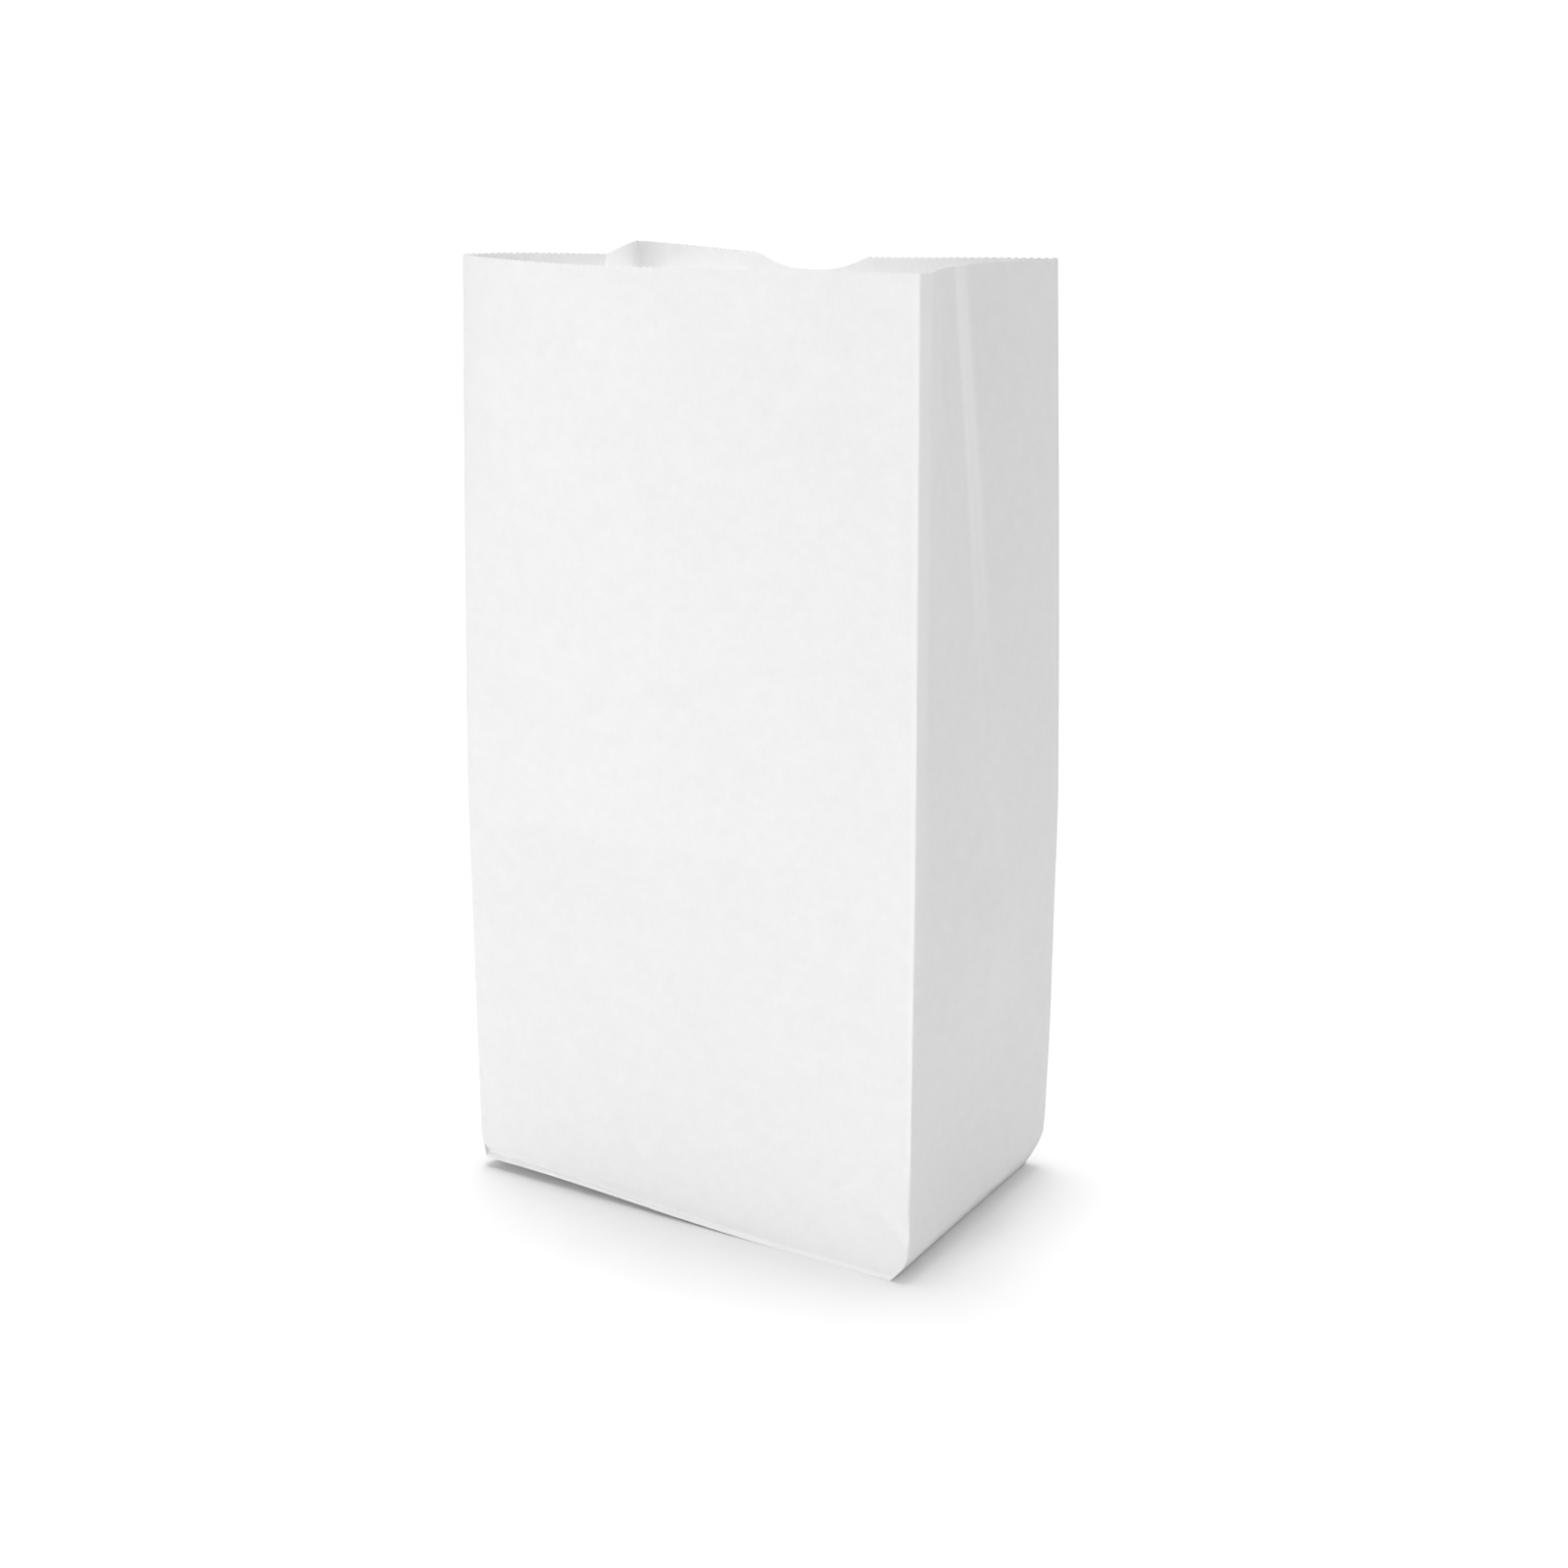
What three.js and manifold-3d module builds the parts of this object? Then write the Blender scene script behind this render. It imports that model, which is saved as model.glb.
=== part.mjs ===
// A plain white self-opening paper bag with pleated sides and a folded block bottom.
// Millimetres, +Z up. The origin is on the floor, under the middle of the bottom.
// The front panel faces -Y. The whole bag is one folded and glued sheet.

import * as THREE from "three";
import Module from "manifold-3d";

// The sheet and the tube that it is folded into
const WIDTH = 152.4;            // front and back panels, from fold to fold
const DEPTH = 92.1;             // side panels, from fold to fold
const HEIGHT = 281.0;           // bottom fold to the middle of the teeth along the top edge
const PAPER = 0.12;             // one thickness of paper
const LAP_WIDTH = 13.8;         // the glued seam down the front panel
const LAP_START = 64.5;         // from the front left fold to the seam's hidden edge
const LAP_DRAPE = 1.0;          // over which the outer layer climbs onto the inner one

// The cut top edge
const TOOTH_PITCH = 2.0;
const TOOTH_DEPTH = 0.4;
const BACK_RIGHT_DROP = 0.9;    // the back corners stand lower than the front ones
const BACK_LEFT_DROP = 0.3;
const BACK_CROWN = 0.9;         // the middle of the back edge stands above its corners
const NOTCH_WIDTH = 38.0;       // thumb notch in the back panel, at the top edge
const NOTCH_FLOOR = 5.0;        // flat length at the foot of the notch
const NOTCH_DEPTH = 3.9;
const NOTCH_POWER = 2.0;        // 1 would cut straight slopes
const NOTCH_OFFSET = 2.8;       // towards +X from the middle of the back panel
const EDGE_BAND = 6.0;          // plain paper below the notch, where the edge's pattern ends

// How the open bag stands: square below, closing in towards the mouth
const SQUARE_HEIGHT = 117.0;
const CLOSING_POWER = 1.2;      // 1 would close in along straight lines
const BOW_POWER = 0.8;
const FRONT_CREST = 0.365;      // where the front panel bows out most, as a share of its width
const BACK_CREST = 0.475;
const LEFT_TUCK = 22.7;         // how far the pleats' middle folds stand in at the mouth
const RIGHT_TUCK = 14.2;
const RIGHT_SWELL = 4.5;        // the right pleat swells out lower down
const SWELL_HEIGHT = 100.0;
const SWELL_SPREAD = 25.0;
const FRONT_LEFT_INSET = [1.8, 5.8];    // how far the corner folds stand in at the mouth, in X and in Y
const FRONT_RIGHT_INSET = [2.5, 1.8];
const BACK_RIGHT_INSET = [3.8, 4.3];
const BACK_LEFT_INSET = [3.5, 2.2];

// The block bottom
const LEFT_TURN = 1.5;          // how far the side panels turn under
const RIGHT_TURN = 5.7;
const TURN_HEIGHT_FRONT = 9.0;
const TURN_HEIGHT_BACK = 13.0;
const TURN_POWER = 1.4;         // 1 would turn under along a flat slope
const BACK_LEAN = 2.5;          // below its crease the back panel leans in
const CREASE_DENT = 0.8;        // the pleats' middle folds, where the slanting creases meet
const PINCH_DEPTH = 1.2;        // hollow above the front bottom fold, deepest at the left
const PINCH_HEIGHT = 4.5;
const PINCH_REACH = 125.0;      // from the left, where the hollow has run out
const LIP_HEIGHT = 1.0;
const FLAP_OVERLAP = 8.0;       // each bottom flap reaches this far past the middle line
const FLAP_INSET = 0.4;         // fold radius between a panel and its flap

// Spacing of the mesh
const COLUMN = 10.0;
const ROW = 21.0;

const CREASE_HEIGHT = DEPTH / 2;
const FLAP_LENGTH = DEPTH / 2 + FLAP_OVERLAP;
const FLOOR = 2 * PAPER;        // underside of the bottom panel, on two layers of flap
const TOP_ROW = HEIGHT - BACK_RIGHT_DROP - TOOTH_DEPTH / 2 - NOTCH_DEPTH - EDGE_BAND;

const clamp = THREE.MathUtils.clamp;
const lerp = THREE.MathUtils.lerp;
const smooth = THREE.MathUtils.smoothstep;

// The six upright folds, anticlockwise from above. side gives the corner of the square tube.
const folds = [
  { side: [-1, -1], inset: FRONT_LEFT_INSET },
  { side: [1, -1], inset: FRONT_RIGHT_INSET },
  { side: [1, 0], inset: [RIGHT_TUCK, 0], swell: RIGHT_SWELL, dent: CREASE_DENT },
  { side: [1, 1], inset: BACK_RIGHT_INSET, drop: BACK_RIGHT_DROP },
  { side: [-1, 1], inset: BACK_LEFT_INSET, drop: BACK_LEFT_DROP },
  { side: [-1, 0], inset: [LEFT_TUCK, 0], dent: CREASE_DENT },
];

// The panel after each fold. bow is +1 outwards, -1 inwards and 0 for flat.
const panels = [
  { width: WIDTH, bow: 1, crest: FRONT_CREST, front: true },
  { width: DEPTH / 2, bow: 0 },
  { width: DEPTH / 2, bow: 0 },
  { width: WIDTH, bow: -1, crest: BACK_CREST, back: true },
  { width: DEPTH / 2, bow: 0 },
  { width: DEPTH / 2, bow: 0 },
];

// Share of the way from the square tube to the mouth's shape, at a height up the sheet
function rise(height) {
  return Math.max(0, (height - SQUARE_HEIGHT) / (HEIGHT - SQUARE_HEIGHT));
}

// Place of a fold in plan, at a height up the sheet
function foldPlan(fold, height) {
  const closing = rise(height) ** CLOSING_POWER;
  const [sideX, sideY] = fold.side;
  const turnHeight = lerp(TURN_HEIGHT_FRONT, TURN_HEIGHT_BACK, (sideY + 1) / 2);
  const turnIn = sideX < 0 ? LEFT_TURN : RIGHT_TURN;
  const turn = turnIn * Math.max(0, 1 - height / turnHeight) ** TURN_POWER;
  const lean = sideY > 0 ? BACK_LEAN * Math.max(0, 1 - height / CREASE_HEIGHT) : 0;
  const dent = (fold.dent ?? 0) * Math.max(0, 1 - Math.abs(height / CREASE_HEIGHT - 1));
  const swell = (fold.swell ?? 0) * Math.exp(-0.5 * ((height - SWELL_HEIGHT) / SWELL_SPREAD) ** 2);
  const x = sideX * (WIDTH / 2 + swell - fold.inset[0] * closing - turn - dent);
  const y = sideY * (DEPTH / 2 - fold.inset[1] * closing - lean);
  return new THREE.Vector2(x, y);
}

// A panel keeps its width, so it bows by what its two folds close up. A shallow arc is longer than
// its chord by 8/3 of its height squared over the chord.
function bowHeight(panel, chord) {
  return Math.sqrt(Math.max(0, (3 / 8) * (panel.width - chord) * chord));
}

// Place in plan of a point at a share of the panel's width
function panelPlan(index, share, height) {
  const panel = panels[index];
  const start = foldPlan(folds[index], height);
  const end = foldPlan(folds[(index + 1) % folds.length], height);
  const point = start.clone().lerp(end, share);
  const along = end.clone().sub(start).normalize();
  const outward = new THREE.Vector2(along.y, -along.x);
  if (panel.bow) {
    const mouthStart = foldPlan(folds[index], HEIGHT);
    const mouthEnd = foldPlan(folds[(index + 1) % folds.length], HEIGHT);
    const bow = bowHeight(panel, mouthStart.distanceTo(mouthEnd)) * rise(height) ** BOW_POWER;
    const skew = Math.log(0.5) / Math.log(panel.crest);
    point.addScaledVector(outward, panel.bow * bow * Math.sin(Math.PI * share ** skew));
  }
  if (panel.front) {
    const reach = Math.max(0, 1 - (share * WIDTH) / PINCH_REACH);
    const foot = smooth(height, 0, LIP_HEIGHT) * (1 - smooth(height, LIP_HEIGHT, PINCH_HEIGHT));
    point.addScaledVector(outward, -PINCH_DEPTH * reach * foot);
  }
  return point;
}

// A line up the sheet keeps its length, so it drops as it leans
function sheetPoint(index, share, height) {
  const plan = panelPlan(index, share, height);
  if (height <= SQUARE_HEIGHT) return new THREE.Vector3(plan.x, plan.y, FLOOR + height);
  const run = height - SQUARE_HEIGHT;
  const lean = plan.distanceTo(panelPlan(index, share, SQUARE_HEIGHT));
  const climb = Math.sqrt(Math.max(0, run * run - lean * lean));
  return new THREE.Vector3(plan.x, plan.y, FLOOR + SQUARE_HEIGHT + climb);
}

// Outward direction of the sheet in plan. At a fold it is the mean of the two panels.
function outwardAt(index, share, height) {
  const step = 0.01;
  const previous = (index + panels.length - 1) % panels.length;
  const next = (index + 1) % panels.length;
  const before = share > step ? [index, share - step] : [previous, 1 - step];
  const after = share < 1 - step ? [index, share + step] : [next, step];
  const here = panelPlan(index, share, height);
  const back = here.clone().sub(panelPlan(...before, height)).normalize();
  const ahead = panelPlan(...after, height).sub(here).normalize();
  const along = back.add(ahead).normalize();
  return new THREE.Vector3(along.y, -along.x, 0);
}

// Thickness of the outer layer where the seam laps over the sheet's other edge
function lapThickness(index, share) {
  if (!panels[index].front) return 0;
  const across = share * WIDTH - LAP_START;
  const climb = clamp(across / LAP_DRAPE, 0, 1);
  const end = clamp((LAP_WIDTH + PAPER - across) / PAPER, 0, 1);
  return PAPER * Math.min(climb, end);
}

// How far the cut drops below the top edge at the thumb notch
function notchDrop(index, share) {
  if (!panels[index].back) return 0;
  const fromMiddle = Math.abs((0.5 - share) * WIDTH - NOTCH_OFFSET);
  const slope = clamp((fromMiddle - NOTCH_FLOOR / 2) / ((NOTCH_WIDTH - NOTCH_FLOOR) / 2), 0, 1);
  return NOTCH_DEPTH * (1 - slope ** NOTCH_POWER);
}

// Height up the sheet of the cut edge, in the middle of its teeth
function edgeHeight(index, share) {
  const start = folds[index].drop ?? 0;
  const end = folds[(index + 1) % folds.length].drop ?? 0;
  const crown = panels[index].back ? BACK_CROWN * 4 * share * (1 - share) : 0;
  return HEIGHT + crown - lerp(start, end, share);
}

// Evenly divided steps between sorted break points, no longer than step
function divide(breaks, step) {
  const sorted = [...new Set(breaks)].sort((a, b) => a - b);
  const values = [sorted[0]];
  for (let i = 1; i < sorted.length; i += 1) {
    const count = Math.max(1, Math.ceil((sorted[i] - sorted[i - 1]) / step));
    for (let k = 1; k <= count; k += 1) values.push(lerp(sorted[i - 1], sorted[i], k / count));
  }
  return values;
}

// Columns of the wall: panel index, share of its width and distance round the bag
function wallColumns() {
  const columns = [];
  let round = 0;
  panels.forEach((panel, index) => {
    const lap = [LAP_START, LAP_START + LAP_DRAPE, LAP_START + LAP_WIDTH, LAP_START + LAP_WIDTH + PAPER];
    const breaks = panel.front ? [0, ...lap, panel.width] : [0, panel.width];
    for (const across of divide(breaks, COLUMN).slice(0, -1)) {
      columns.push({ index, share: across / panel.width, round: round + across });
    }
    round += panel.width;
  });
  return columns;
}

// Columns of the cut edge: one at each valley between two teeth
function edgeColumns() {
  const columns = [];
  let round = 0;
  panels.forEach((panel, index) => {
    const teeth = Math.max(1, Math.round(panel.width / TOOTH_PITCH));
    for (let k = 0; k < teeth; k += 1) {
      const share = k / teeth;
      columns.push({ index, share, middle: (k + 0.5) / teeth, round: round + share * panel.width });
    }
    round += panel.width;
  });
  return columns;
}

const perimeter = panels.reduce((sum, panel) => sum + panel.width, 0);

// Vertices come in pairs, the outer face and then the inner one
const positions = [];
const triangles = [];

function addPair(index, share, height) {
  const middle = sheetPoint(index, share, height);
  const outward = outwardAt(index, share, height);
  const outer = middle.clone().addScaledVector(outward, PAPER / 2 + lapThickness(index, share));
  const inner = middle.clone().addScaledVector(outward, -PAPER / 2);
  if (height === 0) inner.z += PAPER;
  positions.push(...outer.toArray(), ...inner.toArray());
  return positions.length / 3 - 2;
}

// A triangle of outer vertices, seen from outside, with the inner one behind it
function addWall(a, b, c) {
  triangles.push([a, b, c], [a + 1, c + 1, b + 1]);
}

// The narrow face of the cut edge between two pairs
function addRim(a, b) {
  triangles.push([a, b, b + 1], [a, b + 1, a + 1]);
}

// Rows from the bottom fold up to the plain paper below the cut edge
const columns = wallColumns();
const footBreaks = [0, LIP_HEIGHT, PINCH_HEIGHT, TURN_HEIGHT_FRONT, TURN_HEIGHT_BACK];
const rows = divide([...footBreaks, CREASE_HEIGHT, SQUARE_HEIGHT, TOP_ROW], ROW).map((height) =>
  columns.map((column) => addPair(column.index, column.share, height)),
);
for (let j = 1; j < rows.length; j += 1) {
  columns.forEach((_, i) => {
    const next = (i + 1) % columns.length;
    addWall(rows[j - 1][i], rows[j - 1][next], rows[j][next]);
    addWall(rows[j - 1][i], rows[j][next], rows[j][i]);
  });
}

// The valleys of the cut edge, joined to the top row by following both round the bag
const edge = edgeColumns();
const valleys = edge.map(({ index, share }) =>
  addPair(index, share, edgeHeight(index, share) - TOOTH_DEPTH / 2 - notchDrop(index, share)),
);
const topRow = rows[rows.length - 1];
let low = 0;
let high = 0;
while (low < columns.length || high < edge.length) {
  const nextLow = low < columns.length ? (columns[low + 1]?.round ?? perimeter) : Infinity;
  const nextHigh = high < edge.length ? (edge[high + 1]?.round ?? perimeter) : Infinity;
  const lowHere = topRow[low % columns.length];
  const highHere = valleys[high % edge.length];
  if (nextHigh <= nextLow) {
    addWall(lowHere, valleys[(high + 1) % edge.length], highHere);
    high += 1;
  } else {
    addWall(lowHere, topRow[(low + 1) % columns.length], highHere);
    low += 1;
  }
}

// A tooth stands between two valleys, except along the smooth cut of the notch
edge.forEach(({ index, share, middle }, k) => {
  const here = valleys[k];
  const next = valleys[(k + 1) % edge.length];
  const step = 2 * (middle - share);
  if (notchDrop(index, share) > 0 || notchDrop(index, share + step) > 0) {
    addRim(here, next);
    return;
  }
  const tip = addPair(index, middle, edgeHeight(index, middle) + TOOTH_DEPTH / 2);
  addWall(here, next, tip);
  addRim(here, tip);
  addRim(tip, next);
});

// The bottom panel closes the foot of the tube, under and above
const foot = rows[0];
const footPlan = foot.map((pair) => new THREE.Vector2(positions[3 * pair], positions[3 * pair + 1]));
for (const [a, b, c] of THREE.ShapeUtils.triangulateShape(footPlan, [])) {
  triangles.push([foot[a], foot[c], foot[b]], [foot[a] + 1, foot[b] + 1, foot[c] + 1]);
}

const wasm = await Module();
wasm.setup();

function toSolid(vertices, faces) {
  const vertProperties = new Float32Array(vertices);
  const triVerts = new Uint32Array(faces.flat());
  return new wasm.Manifold(new wasm.Mesh({ numProp: 3, vertProperties, triVerts }));
}

// A bottom flap with its ends folded at 45 degrees, so on a narrow bag it ends in a point.
// side is -1 for the front and 1 for the back.
function flapSolid(side, underside) {
  const left = LEFT_TURN + FLAP_INSET - WIDTH / 2;
  const right = WIDTH / 2 - RIGHT_TURN - FLAP_INSET;
  const slant = Math.min(FLAP_LENGTH, (right - left - PAPER) / 2);
  const panelEdge = side * (DEPTH / 2 - (side > 0 ? BACK_LEAN : 0) - FLAP_INSET);
  const freeEdge = -side * FLAP_OVERLAP;
  const shape = new THREE.Shape();
  shape.moveTo(left, panelEdge);
  shape.lineTo(right, panelEdge);
  shape.lineTo(right - slant, freeEdge);
  shape.lineTo(left + slant, freeEdge);
  const depth = FLOOR + PAPER / 2 - underside;
  const geometry = new THREE.ExtrudeGeometry(shape, { depth, bevelEnabled: false });
  geometry.translate(0, 0, underside);
  return fromGeometry(geometry);
}

// Joins the corners that an extrusion repeats on each of its faces
function fromGeometry(geometry) {
  const source = geometry.getAttribute("position");
  const places = new Map();
  const vertices = [];
  const corners = [];
  for (let i = 0; i < source.count; i += 1) {
    const point = [source.getX(i), source.getY(i), source.getZ(i)];
    const key = point.map((value) => value.toFixed(5)).join(" ");
    if (!places.has(key)) {
      places.set(key, vertices.length / 3);
      vertices.push(...point);
    }
    corners.push(places.get(key));
  }
  return toSolid(vertices, corners);
}

const bag = toSolid(positions, triangles).add(flapSolid(-1, PAPER)).add(flapSolid(1, 0));
const joined = bag.getMesh();

const geometry = new THREE.BufferGeometry();
geometry.setAttribute("position", new THREE.BufferAttribute(new Float32Array(joined.vertProperties), 3));
geometry.setIndex(new THREE.BufferAttribute(new Uint32Array(joined.triVerts), 1));
geometry.computeVertexNormals();

const whitePaper = new THREE.MeshStandardMaterial({ color: 0xf1f1f2, roughness: 0.85, metalness: 0 });
const paperBag = new THREE.Mesh(geometry, whitePaper);
paperBag.name = "paper_bag";

const group = new THREE.Group();
group.add(paperBag);

export default group;
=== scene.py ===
import math

import bpy
import numpy as np
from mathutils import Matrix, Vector


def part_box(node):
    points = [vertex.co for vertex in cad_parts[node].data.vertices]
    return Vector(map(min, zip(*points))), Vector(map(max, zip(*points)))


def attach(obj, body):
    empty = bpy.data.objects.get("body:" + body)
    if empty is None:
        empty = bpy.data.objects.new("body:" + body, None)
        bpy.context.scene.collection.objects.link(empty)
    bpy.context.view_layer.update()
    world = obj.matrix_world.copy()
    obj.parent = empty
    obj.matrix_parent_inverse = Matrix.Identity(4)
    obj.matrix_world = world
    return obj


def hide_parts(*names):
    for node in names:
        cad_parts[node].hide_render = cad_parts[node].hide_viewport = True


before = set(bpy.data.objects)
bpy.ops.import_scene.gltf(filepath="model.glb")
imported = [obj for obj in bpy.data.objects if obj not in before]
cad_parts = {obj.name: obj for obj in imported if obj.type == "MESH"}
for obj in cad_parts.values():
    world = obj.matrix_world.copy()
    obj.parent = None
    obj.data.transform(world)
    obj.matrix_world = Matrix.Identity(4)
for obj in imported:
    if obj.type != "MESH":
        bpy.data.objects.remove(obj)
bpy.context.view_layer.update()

# A plain white self-opening paper bag with pleated sides and a folded block bottom.
# Lengths are in millimetres until the mesh is made. The front panel faces -Y.

NODE = "paper_bag"
BODY = "root"
MM = 0.001

low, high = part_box(NODE)

# The sheet and the tube that it is folded into
PAPER = 0.12                    # one thickness of paper
FLOOR = 2 * PAPER               # underside of the bottom panel, on two layers of flap
WIDTH = -2 * low.x / MM - PAPER
DEPTH = 2 * high.y / MM - PAPER
TOOTH_DEPTH = 0.4
HEIGHT = high.z / MM - FLOOR - TOOTH_DEPTH / 2
LAP_WIDTH = 13.8                # the glued seam down the front panel
LAP_START = 64.5
LAP_DRAPE = 4.0                 # over which the outer layer climbs onto the inner one
LAP_EDGE = 0.5                  # the seam's cut edge, clear at the top
LAP_EDGE_SOFT = 6.0             # and pressed flat lower down
LAP_EDGE_CLEAR = (215.0, 255.0)  # heights between which the one passes into the other
FOLD_RADIUS = 0.4
FOLD_SOFT = 0.5                 # share by which a fold line is evened out with its neighbours

# The cut top edge
TOOTH_PITCH = 2.0
BACK_RIGHT_DROP = 0.9           # the back corners stand lower than the front ones
BACK_LEFT_DROP = 0.3
BACK_CROWN = 0.9                # the middle of the back edge stands above its corners
NOTCH_WIDTH = 38.0
NOTCH_FLOOR = 5.0
NOTCH_DEPTH = 3.9
NOTCH_POWER = 2.0
NOTCH_OFFSET = 2.8
EDGE_BAND = 6.0
TOP_ROW = HEIGHT - BACK_RIGHT_DROP - TOOTH_DEPTH / 2 - NOTCH_DEPTH - EDGE_BAND

# How the open bag stands: square below, closing in towards the mouth
SQUARE_HEIGHT = 117.0
CLOSING_POWER = 1.2
BOW_POWER = 0.8
FRONT_CREST = 0.365
BACK_CREST = 0.475
LEFT_TUCK = 22.7
RIGHT_TUCK = 14.2
RIGHT_SWELL = 4.5
SWELL_HEIGHT = 100.0
SWELL_SPREAD = 25.0

# The block bottom
LEFT_TURN = 1.5
RIGHT_TURN = 5.7
TURN_HEIGHT_FRONT = 9.0
TURN_HEIGHT_BACK = 13.0
TURN_POWER = 1.4
BACK_LEAN = 2.5
CREASE_DENT = 0.8
PINCH_DEPTH = 1.8
PINCH_HEIGHT = 6.0
PINCH_REACH = 125.0
LIP_HEIGHT = 1.0
FLAP_OVERLAP = 8.0
FLAP_INSET = 0.4
FLAP_BITE = 0.03                # how far a flap sinks into the layer above it
FLAP_STEPS = (48, 24)           # divisions of a flap along and across the bag
CREASE_HEIGHT = DEPTH / 2

# The front left corner of the bottom stands off the floor
LIFT = 3.2
LIFT_ALONG = (10.0, 110.0)      # distances from the left between which it dies out
LIFT_BACK = 30.0                # how far it reaches back
LIFT_UP = 30.0                  # and up

# Elsewhere the bottom folds touch the floor around the flaps
FOLD_FOOT = 0.03
FOLD_INSET = 0.3

# Rows of the mesh: the height that each band reaches, and the step inside it
ROW_BANDS = [(LIP_HEIGHT, 0.25), (6.0, 0.5), (16.0, 1.25), (40.0, 2.4), (52.0, 1.0), (TOP_ROW, 2.4)]
EDGE_ROWS = 7

# Photograph's camera
CAMERA_TURN = 30.962            # degrees round the bag from its front, towards +X
CAMERA_TILT = 16.376            # degrees down
CAMERA_DISTANCE = 692.65
CAMERA_RIGHT = 6.28             # the line of sight passes this far to the right of the bag's middle
CAMERA_UP = -14.42
FOCAL_PIXELS = 2361.3
IMAGE_PIXELS = 1600.0
SENSOR = 36.0

# The six upright folds, anticlockwise from above: the side of the square tube that each stands at and its
# inset at the mouth. Some swell out, are dented by the bottom's crease, or drop at the top edge.
FOLDS = [
    {"side": (-1, -1), "inset": (1.8, 5.8)},
    {"side": (1, -1), "inset": (2.5, 1.8)},
    {"side": (1, 0), "inset": (RIGHT_TUCK, 0), "swell": RIGHT_SWELL, "dent": CREASE_DENT},
    {"side": (1, 1), "inset": (3.8, 4.3), "drop": BACK_RIGHT_DROP},
    {"side": (-1, 1), "inset": (3.5, 2.2), "drop": BACK_LEFT_DROP},
    {"side": (-1, 0), "inset": (LEFT_TUCK, 0), "dent": CREASE_DENT},
]

# The panel after each fold. bow is +1 outwards, -1 inwards and 0 for flat.
FRONT, RIGHT_FRONT, RIGHT_BACK, BACK, LEFT_BACK, LEFT_FRONT = range(6)
PANELS = [
    {"width": WIDTH, "bow": 1, "crest": FRONT_CREST},
    {"width": DEPTH / 2, "bow": 0},
    {"width": DEPTH / 2, "bow": 0},
    {"width": WIDTH, "bow": -1, "crest": BACK_CREST},
    {"width": DEPTH / 2, "bow": 0},
    {"width": DEPTH / 2, "bow": 0},
]


def smooth(value, start, end):
    """Passes softly from 0 at the start to 1 at the end."""
    share = np.clip((value - start) / (end - start), 0.0, 1.0)
    return share * share * (3 - 2 * share)


# The sheet's shape

def rise(height):
    """Share of the way from the square tube to the mouth's shape."""
    return np.clip((height - SQUARE_HEIGHT) / (HEIGHT - SQUARE_HEIGHT), 0.0, None)


def fold_plan(fold, height):
    """Place of a fold in plan, at a height up the sheet."""
    closing = rise(height) ** CLOSING_POWER
    side_x, side_y = fold["side"]
    turn_height = TURN_HEIGHT_FRONT + (TURN_HEIGHT_BACK - TURN_HEIGHT_FRONT) * (side_y + 1) / 2
    turn_in = LEFT_TURN if side_x < 0 else RIGHT_TURN
    turn = turn_in * np.clip(1 - height / turn_height, 0.0, None) ** TURN_POWER
    lean = (BACK_LEAN if side_y > 0 else 0.0) * np.clip(1 - height / CREASE_HEIGHT, 0.0, None)
    dent = fold.get("dent", 0.0) * np.clip(1 - np.abs(height / CREASE_HEIGHT - 1), 0.0, None)
    swell = fold.get("swell", 0.0) * np.exp(-0.5 * ((height - SWELL_HEIGHT) / SWELL_SPREAD) ** 2)
    x = side_x * (WIDTH / 2 + swell - fold["inset"][0] * closing - turn - dent)
    y = side_y * (DEPTH / 2 - fold["inset"][1] * closing - lean)
    return np.stack([x, y], axis=-1)


def bow_height(panel, index):
    """A panel keeps its width, so it bows by what its two folds close up at the mouth.

    A shallow arch is longer than its chord by 8/3 of its height squared over the chord.
    """
    mouth = np.array(HEIGHT)
    span = fold_plan(FOLDS[(index + 1) % 6], mouth) - fold_plan(FOLDS[index], mouth)
    chord = np.hypot(span[0], span[1])
    return math.sqrt(max(0.0, 3 / 8 * (panel["width"] - chord) * chord))


def panel_plan(index, share, height):
    """Place in plan of points at a share of the panel's width."""
    panel = PANELS[index]
    start = fold_plan(FOLDS[index], height)
    end = fold_plan(FOLDS[(index + 1) % 6], height)
    chord = end - start
    along = chord / np.linalg.norm(chord, axis=-1, keepdims=True)
    outward = np.stack([along[..., 1], -along[..., 0]], axis=-1)
    offset = np.zeros_like(height)
    if panel["bow"]:
        skew = math.log(0.5) / math.log(panel["crest"])
        arch = np.sin(math.pi * share ** skew)
        offset = panel["bow"] * bow_height(panel, index) * rise(height) ** BOW_POWER * arch
    if index == FRONT:
        reach = np.clip(1 - share * WIDTH / PINCH_REACH, 0.0, None)
        foot = smooth(height, 0.0, LIP_HEIGHT) * (1 - smooth(height, LIP_HEIGHT, PINCH_HEIGHT))
        offset = offset - PINCH_DEPTH * reach * foot
    return start + chord * share[..., None] + outward * offset[..., None]


def sheet_points(index, share, height):
    """A line up the sheet keeps its length, so it drops as it leans."""
    plan = panel_plan(index, share, height)
    square = panel_plan(index, share, np.full_like(height, SQUARE_HEIGHT))
    run = height - SQUARE_HEIGHT
    lean = np.linalg.norm(plan - square, axis=-1)
    climb = np.where(run > 0, np.sqrt(np.clip(run * run - lean * lean, 0.0, None)), run)
    return np.concatenate([plan, (FLOOR + SQUARE_HEIGHT + climb)[..., None]], axis=-1)


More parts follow.
